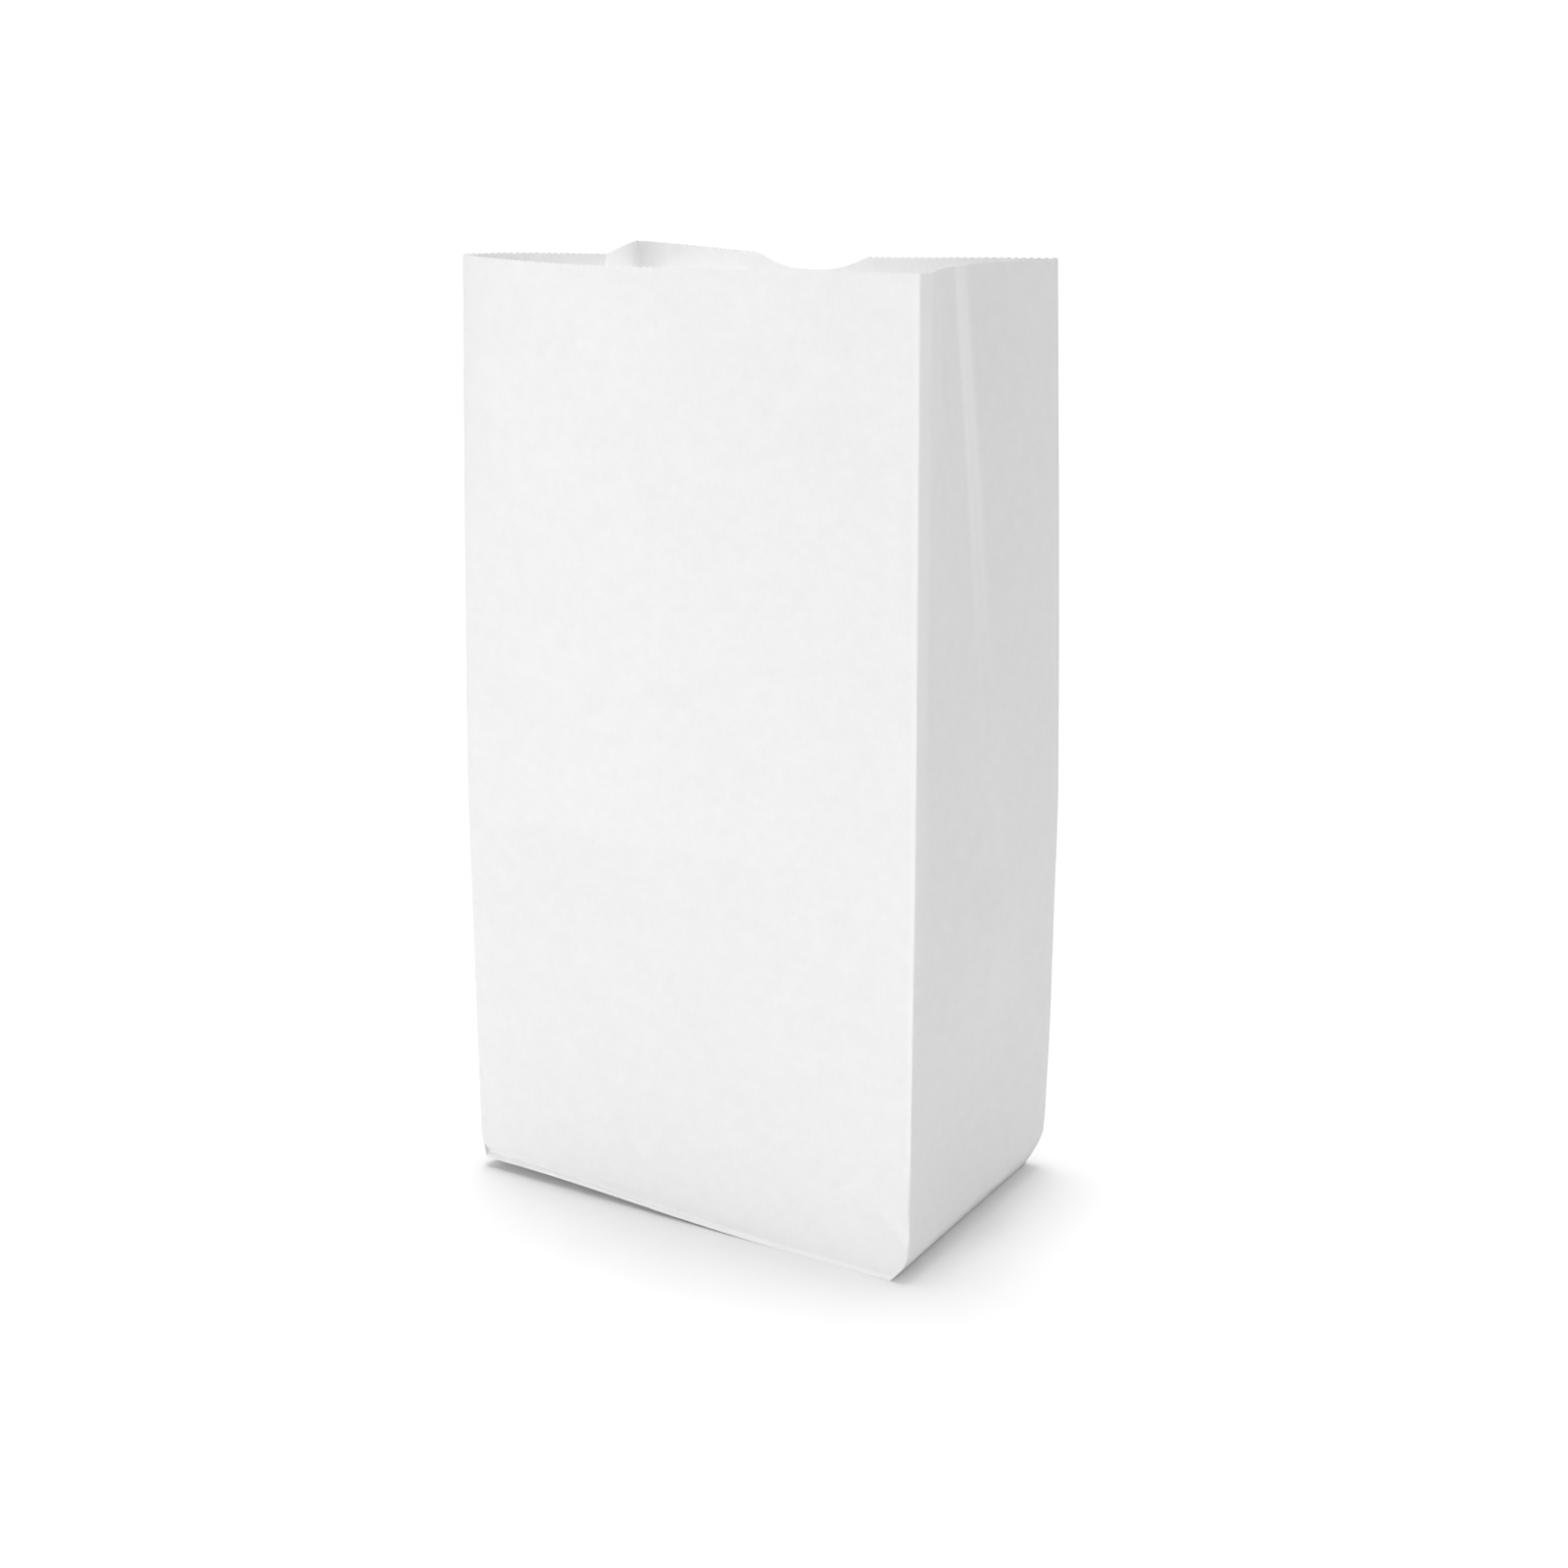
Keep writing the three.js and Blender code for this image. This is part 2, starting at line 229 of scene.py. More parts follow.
def lap_thickness(index, across, height):
    """The outer layer where the seam laps over the sheet's other edge."""
    if index != FRONT:
        return np.zeros_like(across)
    climb = np.clip((across - LAP_START) / LAP_DRAPE, 0.0, 1.0)
    edge = LAP_EDGE_SOFT + (LAP_EDGE - LAP_EDGE_SOFT) * smooth(height, *LAP_EDGE_CLEAR)
    end = np.clip((LAP_START + LAP_WIDTH + LAP_EDGE - across) / edge, 0.0, 1.0)
    return PAPER * np.minimum(climb, end)


def notch_drop(index, across):
    """How far the cut drops below the top edge at the thumb notch."""
    if index != BACK:
        return np.zeros_like(across)
    from_middle = np.abs(WIDTH / 2 - across - NOTCH_OFFSET)
    slope = np.clip((from_middle - NOTCH_FLOOR / 2) / ((NOTCH_WIDTH - NOTCH_FLOOR) / 2), 0.0, 1.0)
    return NOTCH_DEPTH * (1 - slope ** NOTCH_POWER)


def edge_height(index, across):
    """Height up the sheet of the cut edge, in the middle of its teeth."""
    share = across / PANELS[index]["width"]
    start = FOLDS[index].get("drop", 0.0)
    end = FOLDS[(index + 1) % 6].get("drop", 0.0)
    crown = 4 * BACK_CROWN * share * (1 - share) if index == BACK else 0.0
    return HEIGHT + crown - start - (end - start) * share


# Relief: the small creases, hollows and waves that handling leaves in the paper

# Panel, from and to as (across, height), how far it stands out, half width, and 1 for a sharp crease
CREASES = [
    (FRONT, (138.5, 36.0), (140.5, 20.0), -0.5, 1.8, 1),
    (FRONT, (140.0, 21.0), (155.0, 6.5), -1.5, 2.4, 1),
    (FRONT, (134.0, 15.0), (149.0, 3.0), 0.5, 3.5, 0),
    (FRONT, (143.0, 32.0), (152.0, 20.0), 0.5, 4.0, 0),
    (RIGHT_FRONT, (-6.0, 11.0), (7.0, 8.0), -1.0, 2.2, 0),
    (RIGHT_BACK, (38.0, 5.0), (48.0, 17.0), -0.8, 2.0, 1),
    (RIGHT_FRONT, (0.0, 0.0), (46.0, 46.0), -0.22, 1.0, 1),
    (RIGHT_BACK, (46.0, 0.0), (0.0, 46.0), -0.22, 1.0, 1),
    (LEFT_FRONT, (46.0, 0.0), (0.0, 46.0), -0.22, 1.0, 1),
    (LEFT_BACK, (0.0, 0.0), (46.0, 46.0), -0.22, 1.0, 1),
    (BACK, (0.0, 46.0), (152.4, 46.0), -0.30, 1.2, 1),
    (RIGHT_BACK, (22.0, 240.0), (23.0, 100.0), 1.1, 11.0, 0),
]
STRIP_HEIGHT = 2.0              # the side panel stands out in a strip beside the front right fold
STRIP_CREST = 4.9
STRIP_REACH = 22.0
STRIP_FROM = (150.0, 285.0)     # heights between which it grows
VALLEY_FILL = 0.5               # the right pleat's middle fold is rounded
CORNER_FILL = -1.0              # and so is the back left corner fold, on its other side
ROUND_REACH = 4.5
ROUND_FROM = (120.0, 200.0)
WAVE_HEIGHT = 0.16
WAVE_COUNT = 14
WAVE_SHORTEST = 22.0
WAVE_LONGEST = 95.0
WAVE_SEED = 7
WAVE_HOLD = 12.0                # distance from a fold or the bottom over which the waves grow
CREASE_ENDS = (-0.15, 0.2)      # share of a crease's length over which it grows at either end


def crease_relief(across, height, start, end, depth, half_width, sharp):
    """A crease fades out towards both of its ends."""
    line = np.subtract(end, start)
    length = np.hypot(line[0], line[1])
    along = ((across - start[0]) * line[0] + (height - start[1]) * line[1]) / length
    aside = ((across - start[0]) * line[1] - (height - start[1]) * line[0]) / length
    share = along / length
    ends = smooth(share, *CREASE_ENDS) * smooth(1 - share, *CREASE_ENDS)
    distance = np.abs(aside) / half_width
    profile = np.exp(-distance) if sharp else np.exp(-0.5 * distance ** 2)
    return depth * ends * profile


def wave_relief(index, across, height):
    """Soft waves that die out at the folds."""
    draws = np.random.default_rng([WAVE_SEED, index])
    total = np.zeros_like(across)
    for _ in range(WAVE_COUNT):
        length = math.exp(draws.uniform(math.log(WAVE_SHORTEST), math.log(WAVE_LONGEST)))
        heading = draws.uniform(0, math.pi)
        phase = draws.uniform(0, 2 * math.pi)
        turn = 2 * math.pi / length
        path = across * math.cos(heading) + height * math.sin(heading)
        total += length / WAVE_LONGEST * np.sin(turn * path + phase)
    width = PANELS[index]["width"]
    from_fold = np.minimum(across, width - across)
    hold = smooth(from_fold, 0.0, WAVE_HOLD) * smooth(height, 0.0, WAVE_HOLD)
    return WAVE_HEIGHT * hold * total


def strip_relief(across, height):
    """The side panel stands out just behind the front fold before it runs in."""
    swell = np.minimum(across / STRIP_CREST, (STRIP_REACH - across) / (STRIP_REACH - STRIP_CREST))
    return STRIP_HEIGHT * np.clip(swell, 0.0, 1.0) * smooth(height, *STRIP_FROM)


def round_relief(fill, distance, height):
    """Rounds a fold, given the distance from it."""
    share = np.clip(1 - distance / ROUND_REACH, 0.0, 1.0)
    return fill * share ** 2 * smooth(height, *ROUND_FROM)


def relief(index, across, height):
    """How far the paper stands out from its folded shape."""
    total = wave_relief(index, across, height)
    if index == RIGHT_FRONT:
        total = total + strip_relief(across, height) + round_relief(VALLEY_FILL, DEPTH / 2 - across, height)
    if index == RIGHT_BACK:
        total = total + round_relief(VALLEY_FILL, across, height)
    if index == BACK:
        total = total + round_relief(CORNER_FILL, WIDTH - across, height)
    if index == LEFT_BACK:
        total = total + round_relief(CORNER_FILL, across, height)
    for panel, start, end, depth, half_width, sharp in CREASES:
        if panel == index:
            total = total + crease_relief(across, height, start, end, depth, half_width, sharp)
    return total


# Painted highlights: the paper's colour is lightened where light catches it, along the front right fold, on
# the side panel's strip beside it, along the right pleat's middle fold and along the front bottom lip

# Panel, from and to across it, over which it fades, the heights between which it grows, and how strong
PAINTED_HIGHLIGHTS = [
    (FRONT, 151.6, 152.4, 1.2, (0.0, 40.0), 0.5),
    (FRONT, 0.0, 152.4, 1.0, (1.8, 1.0), 1.0),
    (RIGHT_FRONT, 0.0, 4.5, 3.0, (60.0, 200.0), 0.7),
    (RIGHT_FRONT, 43.0, 46.1, 3.0, (150.0, 250.0), 1.0),
    (RIGHT_BACK, 0.0, 2.0, 3.0, (150.0, 250.0), 1.0),
]


def painted_highlight_at(index, across, height):
    """Share of painted highlight, from 0 to 1."""
    total = np.zeros_like(across)
    for panel, start, end, fade, growth, strength in PAINTED_HIGHLIGHTS:
        if panel == index:
            band = smooth(across, start - fade, start) * (1 - smooth(across, end, end + fade))
            total = np.maximum(total, strength * band * smooth(height, *growth))
    return total


# The mesh of the tube: a grid of columns round the bag and rows up it

def row_heights():
    """Heights up the sheet of the rows below the cut edge."""
    heights = [0.0]
    for reach, step in ROW_BANDS:
        count = max(1, math.ceil((reach - heights[-1]) / step))
        heights += list(np.linspace(heights[-1], reach, count + 1)[1:])
    return np.array(heights)


def panel_columns(index):
    """Distances across a panel, with the number of the tooth that each starts or lies in."""
    width = PANELS[index]["width"]
    teeth = round(width / TOOTH_PITCH)
    pitch = width / teeth
    lap_end = LAP_START + LAP_WIDTH
    extra = [FOLD_RADIUS, width - FOLD_RADIUS]
    if index in (FRONT, BACK):
        lap = [LAP_START, LAP_START + LAP_DRAPE, lap_end, lap_end + LAP_EDGE]
        extra += lap if index == FRONT else [width - across for across in lap]
    valleys = [k * pitch for k in range(teeth)]
    across = np.array(sorted(valleys + extra))
    tooth = np.searchsorted(valleys, across, side="right") - 1
    return across, tooth, pitch


def wall_columns():
    """Panel, distance across it, tooth number and pitch for every column round the bag."""
    panel, across, tooth, pitch = [], [], [], []
    for index in range(6):
        distances, teeth, step = panel_columns(index)
        first_tooth = tooth[-1] + 1 if tooth else 0
        panel += [index] * len(distances)
        across += list(distances)
        tooth += list(teeth + first_tooth)
        pitch += [step] * len(distances)
    return np.array(panel), np.array(across), np.array(tooth), np.array(pitch)


def on_each_panel(panel, make):
    """Puts together what make(index, columns) gives for the columns of each panel."""
    parts = [make(index, np.flatnonzero(panel == index)) for index in range(6)]
    return np.concatenate(parts, axis=-2 if parts[0].shape[-1] == 3 else -1)


def grid_normals(points):
    """Outward normals of a grid that closes on itself round the bag."""
    around = np.roll(points, -1, axis=1) - np.roll(points, 1, axis=1)
    upward = np.gradient(points, axis=0)
    normals = np.cross(around, upward)
    return normals / np.linalg.norm(normals, axis=-1, keepdims=True)


class BagMesh:
    """Vertices and faces of the bag, in millimetres."""

    def __init__(self):
        self.vertices = np.zeros((0, 3))
        self.painted_highlight = np.zeros(0)
        self.faces = []

    # each vertex carries a share of painted highlight, 0 unless one is given
    def add(self, points, painted_highlight=0.0):
        """Numbers of the new vertices, in the shape of the points given."""
        points = np.asarray(points, dtype=float)
        first = len(self.vertices)
        self.vertices = np.concatenate([self.vertices, points.reshape(-1, 3)])
        self.painted_highlight = np.concatenate([self.painted_highlight, np.broadcast_to(painted_highlight, points.shape[:-1]).ravel()])
        return first + np.arange(points.size // 3).reshape(points.shape[:-1])

    def quads(self, a, b, c, d):
        """Faces between four rows of vertex numbers."""
        corners = np.stack([np.ravel(a), np.ravel(b), np.ravel(c), np.ravel(d)], axis=-1)
        self.faces += corners.tolist()

    def grid(self, numbers, flip=False):
        """Faces over a grid of vertex numbers."""
        a, b = numbers[:-1, :-1], numbers[:-1, 1:]
        c, d = numbers[1:, 1:], numbers[1:, :-1]
        if flip:
            self.quads(a, d, c, b)
        else:
            self.quads(a, b, c, d)


def add_walls(bag):
    """The tube's faces, its cut edge and its foot. Returns the edges of the bottom, under and inside."""
    panel, across, tooth, pitch = wall_columns()
    edge = on_each_panel(panel, lambda i, cols: edge_height(i, across[cols]))
    drop = on_each_panel(panel, lambda i, cols: notch_drop(i, across[cols]))
    valley = edge - TOOTH_DEPTH / 2 - drop
    main = np.repeat(row_heights()[:, None], len(panel), axis=1)
    steps = (np.arange(EDGE_ROWS) + 1)[:, None] / EDGE_ROWS
    heights = np.concatenate([main, TOP_ROW + (valley - TOP_ROW) * steps])
    distances = np.repeat(across[None], len(heights), axis=0)

    def middle_of(index, cols):
        return sheet_points(index, distances[:, cols] / PANELS[index]["width"], heights[:, cols])

    middle = on_each_panel(panel, middle_of)
    stand_out = on_each_panel(panel, lambda i, cols: relief(i, distances[:, cols], heights[:, cols]))
    middle += grid_normals(middle) * stand_out[..., None]
    folds = np.flatnonzero(across == 0)
    beside = (middle[:, folds - 1] + middle[:, folds + 1]) / 2
    middle[:, folds] = (1 - FOLD_SOFT) * middle[:, folds] + FOLD_SOFT * beside
    normals = grid_normals(middle)
    lap = on_each_panel(panel, lambda i, cols: lap_thickness(i, distances[:, cols], heights[:, cols]))
    outer_points = middle + normals * (PAPER / 2 + lap)[..., None]
    inner_points = middle - normals * PAPER / 2
    outer_points[0, :, 2] = FOLD_FOOT
    inner_points[0, :, 2] = FLOOR + PAPER
    # painted highlight share of each outer vertex
    painted_highlight = on_each_panel(panel, lambda i, cols: painted_highlight_at(i, distances[:, cols], heights[:, cols]))
    outer = bag.add(outer_points, painted_highlight)
    inner = bag.add(inner_points)
    bag.grid(np.concatenate([outer, outer[:, :1]], axis=1))
    bag.grid(np.concatenate([inner, inner[:, :1]], axis=1), flip=True)
    for number in range(tooth[-1] + 1):
        cols = np.flatnonzero(tooth == number)
        chain = np.append(cols, (cols[-1] + 1) % len(panel))
        add_tooth(bag, panel[cols[0]], across[cols[0]], pitch[cols[0]], outer[-1, chain], inner[-1, chain],
                  normals[-1, chain], drop[chain])
    inset = outer_points[0] - normals[0] * (FOLD_INSET, FOLD_INSET, 0.0)
    inset[:, 2] = FLOOR
    under = bag.add(inset)
    bag.quads(under, np.roll(under, -1), np.roll(outer[0], -1), outer[0])
    return under, inner[0], panel


def add_tooth(bag, index, start, pitch, outer, inner, normals, drop):
    """One tooth of the cut edge, or a stretch of the notch's smooth edge."""
    if drop.max() > 0:
        bag.quads(outer[:-1], outer[1:], inner[1:], inner[:-1])
        return
    across = np.array([start + pitch / 2])
    top = edge_height(index, across) + TOOTH_DEPTH / 2
    tip = sheet_points(index, across / PANELS[index]["width"], top)[0]
    normal = normals.mean(axis=0)
    normal /= np.linalg.norm(normal)
    tip = tip + normal * relief(index, across, top)[0]
    lap = lap_thickness(index, across, top)[0]
    outer_tip, inner_tip = bag.add([tip + normal * (PAPER / 2 + lap), tip - normal * PAPER / 2])
    for k in range(len(outer) - 1):
        bag.faces.append([outer[k], outer[k + 1], outer_tip])
        bag.faces.append([inner[k + 1], inner[k], inner_tip])
    bag.faces.append([outer[0], outer_tip, inner_tip, inner[0]])
    bag.faces.append([outer_tip, outer[-1], inner[-1], inner_tip])


# The block bottom

INSIDE_STEP = 0.10              # the folded ends stand this much above the bottom's middle, inside
STEP_SOFT = 1.0


def coons_patch(front, right, back, left):
    """Points inside four edges. front and back run along +X, left and right along +Y."""
    u = np.linspace(0, 1, len(front))[None, :, None]
    v = np.linspace(0, 1, len(left))[:, None, None]
    across = (1 - v) * front[None] + v * back[None]
    along = (1 - u) * left[:, None] + u * right[:, None]
    corners = (1 - v) * ((1 - u) * front[0] + u * front[-1]) + v * ((1 - u) * back[0] + u * back[-1])
    return across + along - corners


def bottom_grid(bag, row, panel, lift):
    """Vertex numbers over the bottom panel, with the tube's bottom row as its edge."""
    starts = [int(np.flatnonzero(panel == index)[0]) for index in range(6)]
    loop = np.append(row, row[0])
    front = loop[starts[FRONT]:starts[RIGHT_FRONT] + 1]
    right = loop[starts[RIGHT_FRONT]:starts[BACK] + 1]
    back = loop[starts[BACK]:starts[LEFT_BACK] + 1][::-1]
    left = loop[starts[LEFT_BACK]:][::-1]
    points = coons_patch(*(bag.vertices[edge] for edge in (front, right, back, left)))
    points[1:-1, 1:-1, 2] += lift(points[1:-1, 1:-1])
    numbers = np.zeros(points.shape[:2], dtype=int)
    numbers[0], numbers[-1], numbers[:, 0], numbers[:, -1] = front, back, left, right
    numbers[1:-1, 1:-1] = bag.add(points[1:-1, 1:-1])
    return numbers


def inside_lift(points):
    """Inside, the folded ends lie over the flaps, up to slanting edges from the corners."""
    from_side = WIDTH / 2 - np.abs(points[..., 0])
    from_panel = DEPTH / 2 - np.abs(points[..., 1])
    return INSIDE_STEP * smooth(from_panel - from_side, -STEP_SOFT, STEP_SOFT)


def no_lift(points):
    """For the underside, which stays flat."""
    return np.zeros(points.shape[:-1])


def border(numbers):
    """The numbers round the edge of a grid, in order."""
    return np.concatenate([numbers[0, :-1], numbers[:-1, -1], numbers[-1, :0:-1], numbers[:0:-1, 0]])


def corner_lift(points):
    """How far the front left corner of the bottom stands off the floor."""
    along = 1 - smooth(points[:, 0] + WIDTH / 2, *LIFT_ALONG)
    back = 1 - smooth(points[:, 1] + DEPTH / 2, 0.0, LIFT_BACK)
    upward = 1 - smooth(points[:, 2], 0.0, LIFT_UP)
    return LIFT * along * back * upward


def add_flap(bag, side, underside):
    """A bottom flap with its ends folded at 45 degrees. side is -1 for the front and 1 for the back."""
    left = LEFT_TURN + FLAP_INSET - WIDTH / 2
    right = WIDTH / 2 - RIGHT_TURN - FLAP_INSET
    slant = DEPTH / 2 + FLAP_OVERLAP
    panel_edge = side * (DEPTH / 2 - (BACK_LEAN if side > 0 else 0.0) - FLAP_INSET)
    free_edge = -side * FLAP_OVERLAP
    outline = [(left, panel_edge), (right, panel_edge), (right - slant, free_edge), (left + slant, free_edge)]
    if side > 0:
        outline.reverse()
    a, b, c, d = (np.array(corner) for corner in outline)
    u = np.linspace(0, 1, FLAP_STEPS[0] + 1)[None, :, None]
    v = np.linspace(0, 1, FLAP_STEPS[1] + 1)[:, None, None]
    plan = (1 - v) * ((1 - u) * a + u * b) + v * ((1 - u) * d + u * c)
    level = np.ones(plan.shape[:2] + (1,))
    under = bag.add(np.concatenate([plan, underside * level], axis=-1))
    over = bag.add(np.concatenate([plan, (FLOOR + FLAP_BITE) * level], axis=-1))
    bag.grid(under, flip=True)
    bag.grid(over)
    low_edge, high_edge = border(under), border(over)
    bag.quads(low_edge, np.roll(low_edge, -1), np.roll(high_edge, -1), high_edge)


def add_bottom(bag, under_row, inner_row, panel):
    """The bottom panel's two faces and the flaps pasted under it."""
    bag.grid(bottom_grid(bag, under_row, panel, no_lift), flip=True)
    bag.grid(bottom_grid(bag, inner_row, panel, inside_lift))
    add_flap(bag, -1, PAPER)
    add_flap(bag, 1, 0.0)


# Paper

PAPER_LIGHT = (0.905, 0.905, 0.908, 1.0)
PAPER_DARK = (0.868, 0.868, 0.872, 1.0)
FLECK = (0.83, 0.826, 0.818, 1.0)
# painted highlight: the near-white that the painted highlight share mixes into the paper's colour
PAINTED_HIGHLIGHT_COLOUR = (0.965, 0.965, 0.965, 1.0)
BLACK = (0.0, 0.0, 0.0, 1.0)
WHITE = (1.0, 1.0, 1.0, 1.0)
SHARP_ANGLE = 50.0              # degrees between two faces from which their edge is shaded sharp
PAPER_SPECULAR = 0.25
PAPER_ROUGHNESS = (0.62, 0.80)
GRAIN = (1.0, 1.0, 0.3)         # fibres are drawn out up the sheet
CLOUD_SCALE = 210.0             # cells of noise in a metre
FIBRE_SCALE = 1700.0
SPECK_SCALE = 950.0
TONE_STOPS = (0.36, 0.64)       # noise between which dark paper passes into light
FLECK_STOPS = (0.78, 0.86)      # noise between which a fleck comes in
BUMP_STRENGTH = 0.35
BUMP_DISTANCE = 0.00003         # metres


def add_node(nodes, kind, **values):
    """A shader node with its sockets or settings filled in."""
    node = nodes.new(kind)
    for name, value in values.items():
        if name in node.inputs:
            node.inputs[name].default_value = value
        else:
            setattr(node, name, value)
    return node


def ramp(nodes, links, source, stops):
    """Colour stops as (position, colour) over a value."""
    node = nodes.new("ShaderNodeValToRGB")
    for stop, (position, colour) in zip(node.color_ramp.elements, stops):
        stop.position = position
        stop.color = colour
    links.new(source, node.inputs["Fac"])
    return node.outputs["Color"]


def mix_colour(nodes, links, share, colour, other):
    """A colour that passes into another, plain one by a share."""
    mix = add_node(nodes, "ShaderNodeMix", data_type="RGBA")
    colour_in = [socket for socket in mix.inputs if socket.type == "RGBA"]
    colour_in[1].default_value = other
    links.new(share, mix.inputs[0])
    links.new(colour, colour_in[0])
    return [socket for socket in mix.outputs if socket.type == "RGBA"][0]


def white_paper():
    """Bleached kraft: cloudy formation, fibres that run up the sheet, and a few flecks."""
    material = bpy.data.materials.new("white_paper_looks")
    material.use_nodes = True
    nodes, links = material.node_tree.nodes, material.node_tree.links
    shader = nodes["Principled BSDF"]
    shader.inputs["Specular IOR Level"].default_value = PAPER_SPECULAR
    place = nodes.new("ShaderNodeTexCoord").outputs["Object"]
    grain = add_node(nodes, "ShaderNodeMapping", Scale=GRAIN)
    links.new(place, grain.inputs["Vector"])

    clouds = add_node(nodes, "ShaderNodeTexNoise", Scale=CLOUD_SCALE, Detail=4.0, Roughness=0.6)
    links.new(place, clouds.inputs["Vector"])
    fibres = add_node(nodes, "ShaderNodeTexNoise", Scale=FIBRE_SCALE, Detail=3.0, Roughness=0.65)
    links.new(grain.outputs["Vector"], fibres.inputs["Vector"])
    specks = add_node(nodes, "ShaderNodeTexNoise", Scale=SPECK_SCALE, Detail=1.0)
    links.new(grain.outputs["Vector"], specks.inputs["Vector"])

    blend = add_node(nodes, "ShaderNodeMath", operation="ADD")
    links.new(clouds.outputs["Fac"], blend.inputs[0])
    links.new(fibres.outputs["Fac"], blend.inputs[1])
    half = add_node(nodes, "ShaderNodeMath", operation="MULTIPLY")
    half.inputs[1].default_value = 0.5
    links.new(blend.outputs[0], half.inputs[0])
    colour = ramp(nodes, links, half.outputs[0], zip(TONE_STOPS, (PAPER_DARK, PAPER_LIGHT)))
    fleck = ramp(nodes, links, specks.outputs["Fac"], zip(FLECK_STOPS, (BLACK, WHITE)))
    flecked = mix_colour(nodes, links, fleck, colour, FLECK)
    # painted highlight: the paper's colour is lightened towards near-white by the painted highlight share
    # that the mesh carries
    painted_highlight = add_node(nodes, "ShaderNodeAttribute", attribute_name="painted_highlight").outputs["Fac"]
    links.new(mix_colour(nodes, links, painted_highlight, flecked, PAINTED_HIGHLIGHT_COLOUR), shader.inputs["Base Color"])

    sheen = add_node(nodes, "ShaderNodeMapRange")
    sheen.inputs["To Min"].default_value = PAPER_ROUGHNESS[0]
    sheen.inputs["To Max"].default_value = PAPER_ROUGHNESS[1]
    links.new(clouds.outputs["Fac"], sheen.inputs["Value"])
    links.new(sheen.outputs["Result"], shader.inputs["Roughness"])

    bump = add_node(nodes, "ShaderNodeBump", Strength=BUMP_STRENGTH, Distance=BUMP_DISTANCE)
    links.new(half.outputs[0], bump.inputs["Height"])
    links.new(bump.outputs["Normal"], shader.inputs["Normal"])
    return material


def make_bag():
    """The bag as one piece in the place of the CAD's node."""
    bag = BagMesh()
    under_row, inner_row, panel = add_walls(bag)
    add_bottom(bag, under_row, inner_row, panel)
    bag.vertices[:, 2] += corner_lift(bag.vertices)
    mesh = bpy.data.meshes.new("folded_paper_bag")
    mesh.from_pydata((bag.vertices * MM).tolist(), [], bag.faces)
    # the painted highlight share of each vertex, read by the paper's colour
    mesh.attributes.new("painted_highlight", "FLOAT", "POINT").data.foreach_set("value", bag.painted_highlight)
    mesh.shade_smooth()
    mesh.set_sharp_from_angle(angle=math.radians(SHARP_ANGLE))
    mesh.materials.append(white_paper())
    piece = bpy.data.objects.new("folded_paper_bag", mesh)
    bpy.context.scene.collection.objects.link(piece)
    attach(piece, BODY)
    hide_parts(NODE)


# Studio

STUDIO_REACH = 6.0              # metres from the bag to the edge of the floor
FLOOR_COLOUR = (0.92, 0.92, 0.922, 1.0)
FLOOR_COLOUR_LOW = (0.91, 0.91, 0.913, 1.0)
FLOOR_STOPS = (0.3, 0.7)        # noise between which the lower colour passes into the other
FLOOR_CLOUD_SCALE = 40.0
FLOOR_ROUGHNESS = 0.9
FLOOR_SPECULAR = 0.1
BACKDROP_GLOW = 1.05
BACKDROP_SEGMENTS = 48
BACKDROP_RINGS = 24
WORLD_COLOUR = (0.97, 0.98, 1.0, 1.0)
WORLD_STRENGTH = 0.02

# Name, turn from the front towards +X, height above the horizon, spread (all degrees), strength
SUNS = [
    ("top_light", 255.0, 86.5, 16.0, 1.40),
    ("over_light", 0.0, 90.0, 120.0, 1.46),
    ("low_light", -10.0, 14.0, 50.0, 0.65),
    ("drop_light", 180.0, 30.0, 110.0, 0.90),
    ("side_light", 100.0, 30.0, 90.0, 0.08),
]

# Name, place, aim, width and height in millimetres, watts. The two fills inside the bag are weak, and
# stand for what shines in through its thin walls.
FILLS = [
    ("front_panel", (-300.0, -1500.0, 130.0), (0.0, -46.0, 140.0), (2000.0, 240.0), 4.6),
    ("mouth_fill", (0.0, 0.0, 100.0), (0.0, 0.0, 281.0), (70.0, 70.0), 0.13),
    ("corner_fill", (-52.0, 27.0, 215.0), (-64.0, 34.0, 290.0), (14.0, 14.0), 0.012),
]


def make_floor():
    """A plain pale floor."""
    mesh = bpy.data.meshes.new("studio_floor")
    reach = STUDIO_REACH
    corners = [(-reach, -reach, 0), (reach, -reach, 0), (reach, reach, 0), (-reach, reach, 0)]
    mesh.from_pydata(corners, [], [(0, 1, 2, 3)])
    material = bpy.data.materials.new("studio_floor")
    material.use_nodes = True
    nodes, links = material.node_tree.nodes, material.node_tree.links
    shader = nodes["Principled BSDF"]
    shader.inputs["Roughness"].default_value = FLOOR_ROUGHNESS
    shader.inputs["Specular IOR Level"].default_value = FLOOR_SPECULAR
    clouds = add_node(nodes, "ShaderNodeTexNoise", Scale=FLOOR_CLOUD_SCALE, Detail=3.0)
    place = nodes.new("ShaderNodeTexCoord").outputs["Object"]
    links.new(place, clouds.inputs["Vector"])
    colour = ramp(nodes, links, clouds.outputs["Fac"], zip(FLOOR_STOPS, (FLOOR_COLOUR_LOW, FLOOR_COLOUR)))
    links.new(colour, shader.inputs["Base Color"])
    mesh.materials.append(material)
    floor = bpy.data.objects.new("studio_floor", mesh)
    bpy.context.scene.collection.objects.link(floor)


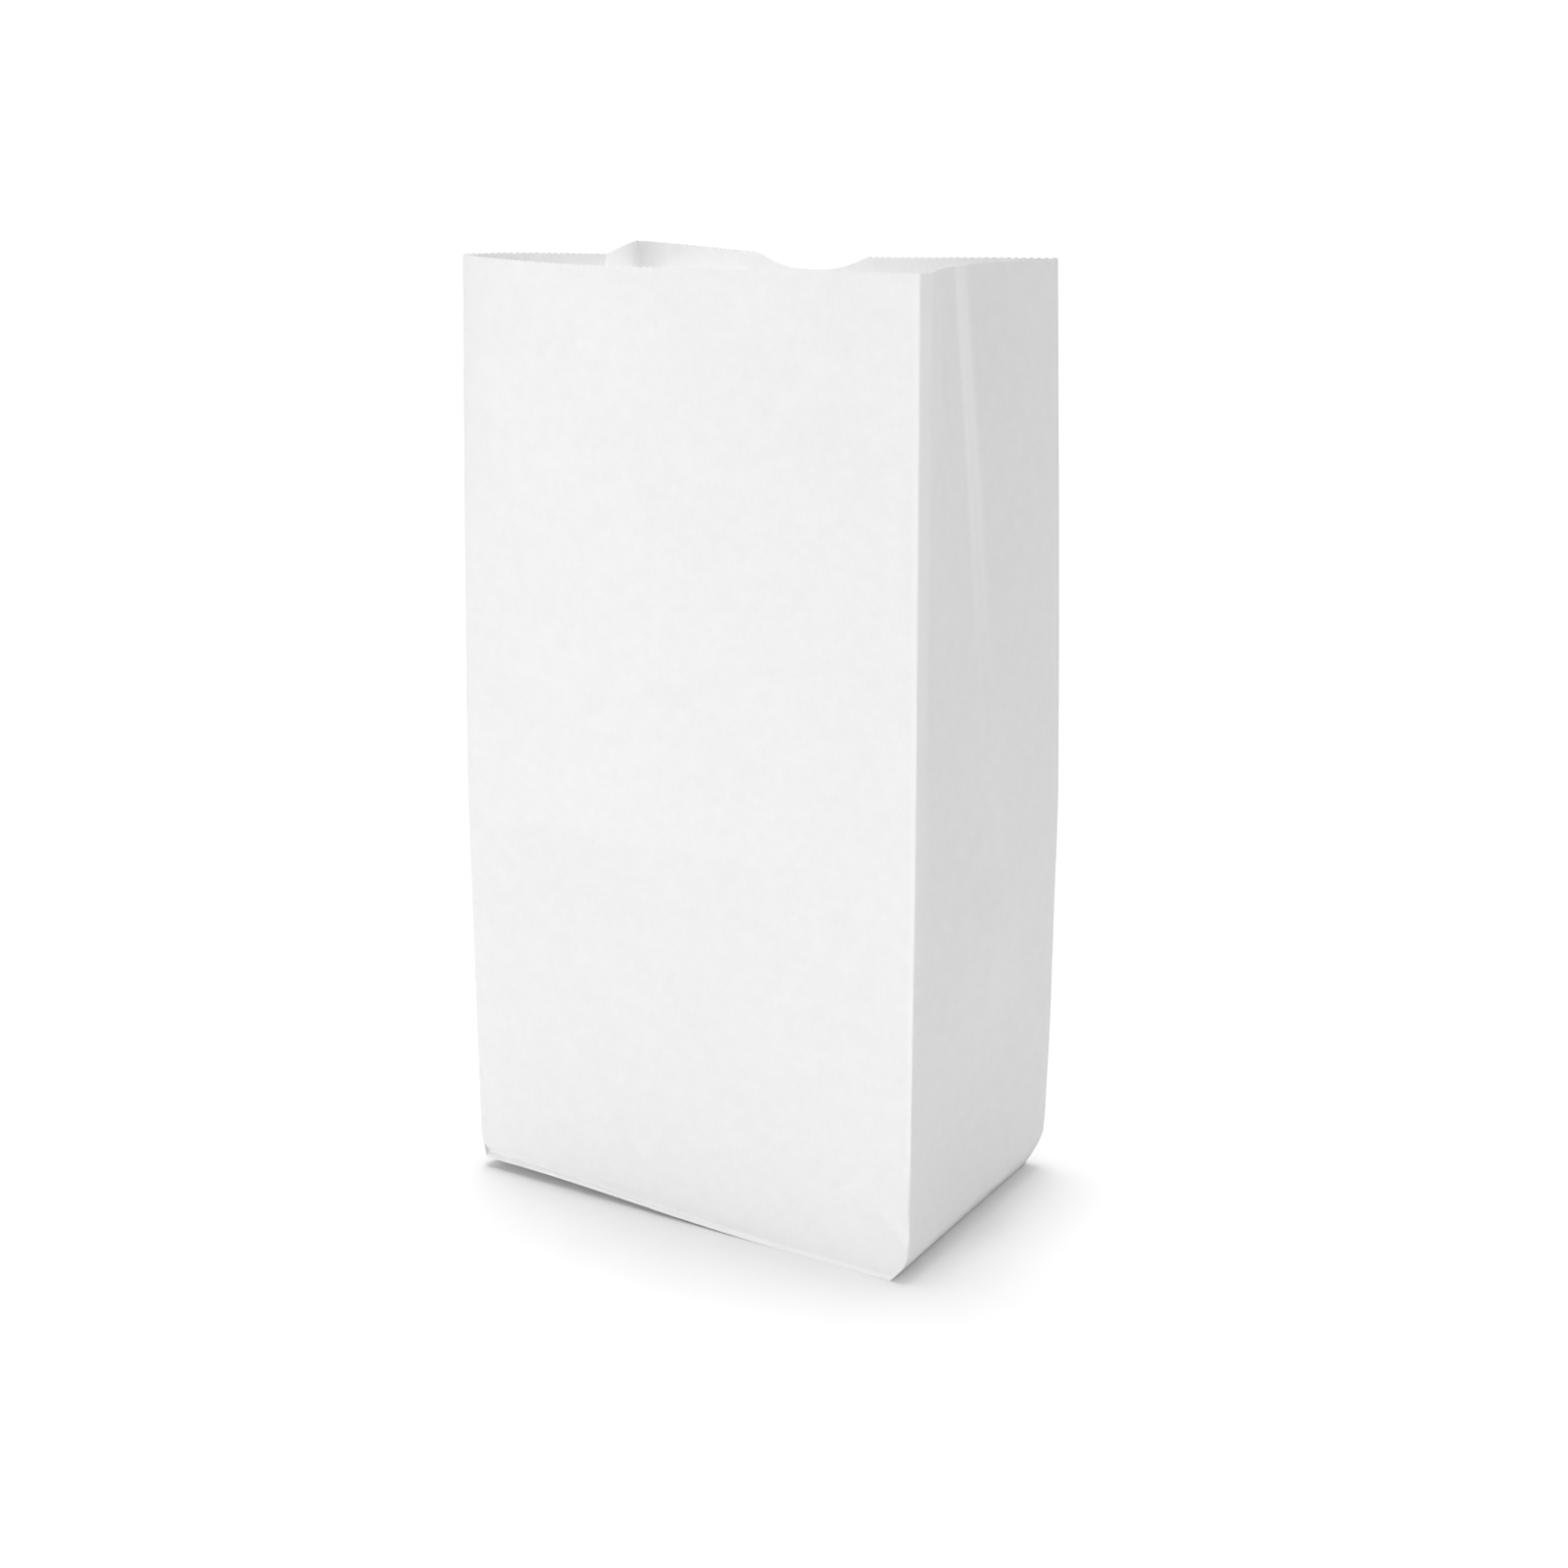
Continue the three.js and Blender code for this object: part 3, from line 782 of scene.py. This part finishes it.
def make_backdrop():
    """A white dome that only the camera sees, so the floor has no horizon."""
    bpy.ops.mesh.primitive_uv_sphere_add(segments=BACKDROP_SEGMENTS, ring_count=BACKDROP_RINGS,
                                         radius=STUDIO_REACH)
    dome = bpy.context.object
    dome.name = "studio_backdrop"
    material = bpy.data.materials.new("studio_backdrop")
    material.use_nodes = True
    shader = material.node_tree.nodes["Principled BSDF"]
    shader.inputs["Base Color"].default_value = BLACK
    shader.inputs["Emission Color"].default_value = WHITE
    shader.inputs["Emission Strength"].default_value = BACKDROP_GLOW
    dome.data.materials.append(material)
    dome.visible_diffuse = False
    dome.visible_glossy = False
    dome.visible_transmission = False
    dome.visible_shadow = False


def make_fills():
    """Soft panels of light that the camera does not see."""
    for name, place, aim, size, watts in FILLS:
        light = bpy.data.lights.new(name, "AREA")
        light.shape = "RECTANGLE"
        light.size = size[0] * MM
        light.size_y = size[1] * MM
        light.energy = watts
        fill = bpy.data.objects.new(name, light)
        fill.location = Vector(place) * MM
        fill.rotation_euler = (Vector(aim) - Vector(place)).to_track_quat("-Z", "Y").to_euler()
        fill.visible_camera = False
        bpy.context.scene.collection.objects.link(fill)


def make_lights():
    """Broad suns over a faint sky."""
    world = bpy.data.worlds.new("studio_world")
    world.use_nodes = True
    background = world.node_tree.nodes["Background"]
    background.inputs["Color"].default_value = WORLD_COLOUR
    background.inputs["Strength"].default_value = WORLD_STRENGTH
    bpy.context.scene.world = world
    for name, turn, elevation, spread, strength in SUNS:
        light = bpy.data.lights.new(name, "SUN")
        light.energy = strength
        light.angle = math.radians(spread)
        sun = bpy.data.objects.new(name, light)
        sun.rotation_euler = (math.radians(90 - elevation), 0, math.radians(turn))
        bpy.context.scene.collection.objects.link(sun)


def make_camera():
    """The photograph's view, with the line of sight's offsets as a shift of the whole camera."""
    turn, tilt = math.radians(CAMERA_TURN), math.radians(CAMERA_TILT)
    forward = np.array([-math.sin(turn) * math.cos(tilt), math.cos(turn) * math.cos(tilt), -math.sin(tilt)])
    right = np.array([math.cos(turn), math.sin(turn), 0.0])
    upward = np.cross(right, forward)
    middle = np.array([0.0, 0.0, HEIGHT / 2])
    place = middle - forward * CAMERA_DISTANCE + right * CAMERA_RIGHT + upward * CAMERA_UP
    data = bpy.data.cameras.new("photo_camera")
    data.sensor_width = SENSOR
    data.lens = FOCAL_PIXELS / IMAGE_PIXELS * SENSOR
    camera = bpy.data.objects.new("photo_camera", data)
    camera.location = (place * MM).tolist()
    camera.rotation_euler = (math.pi / 2 - tilt, 0, turn)
    bpy.context.scene.collection.objects.link(camera)
    bpy.context.scene.camera = camera


make_camera()
make_bag()
make_floor()
make_backdrop()
make_lights()
make_fills()
bpy.context.scene.view_settings.view_transform = "Standard"
